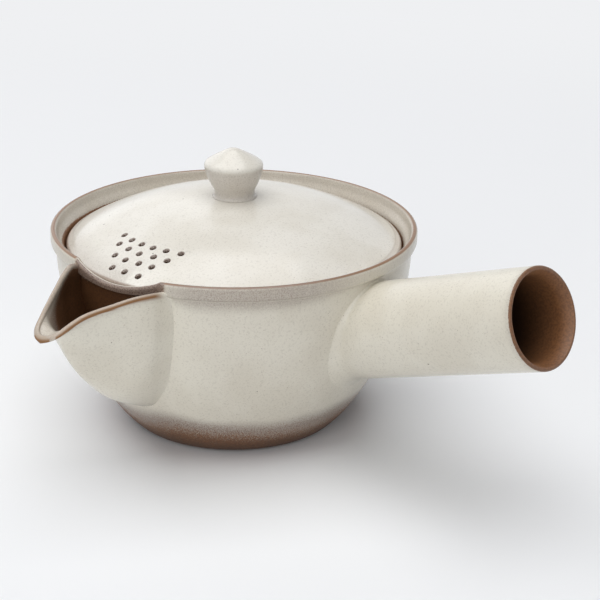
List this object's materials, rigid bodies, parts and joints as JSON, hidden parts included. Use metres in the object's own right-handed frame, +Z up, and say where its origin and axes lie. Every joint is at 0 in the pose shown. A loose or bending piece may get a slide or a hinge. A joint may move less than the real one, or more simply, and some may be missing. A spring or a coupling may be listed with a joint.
{
  "type": "shiboridashi",
  "caption": "Side-handled ceramic tea pot with an open beak spout and a domed, perforated lid that sits down inside the rim.",
  "frame": {"origin": "centre of the flat base, on the axis of the bowl", "axes": "+Z up along the bowl's axis, the spout points along -X, the handle points near -Y and rises outwards"},
  "size_m": [0.1391, 0.17, 0.0839],
  "materials": {
    "glazed_stoneware": "gloss",
    "lid_glaze": "gloss"
  },
  "bodies": {
    "pot": {"bowl": "glazed_stoneware", "spout": "glazed_stoneware", "handle": "glazed_stoneware"},
    "lid": {"lid": "lid_glaze", "knob": "lid_glaze"}
  },
  "joints": [
    {"name": "lid_lift", "type": "slide", "parent": "pot", "child": "lid", "axis": [0, 0, 1], "range_m": [0, 0.06]}
  ]
}
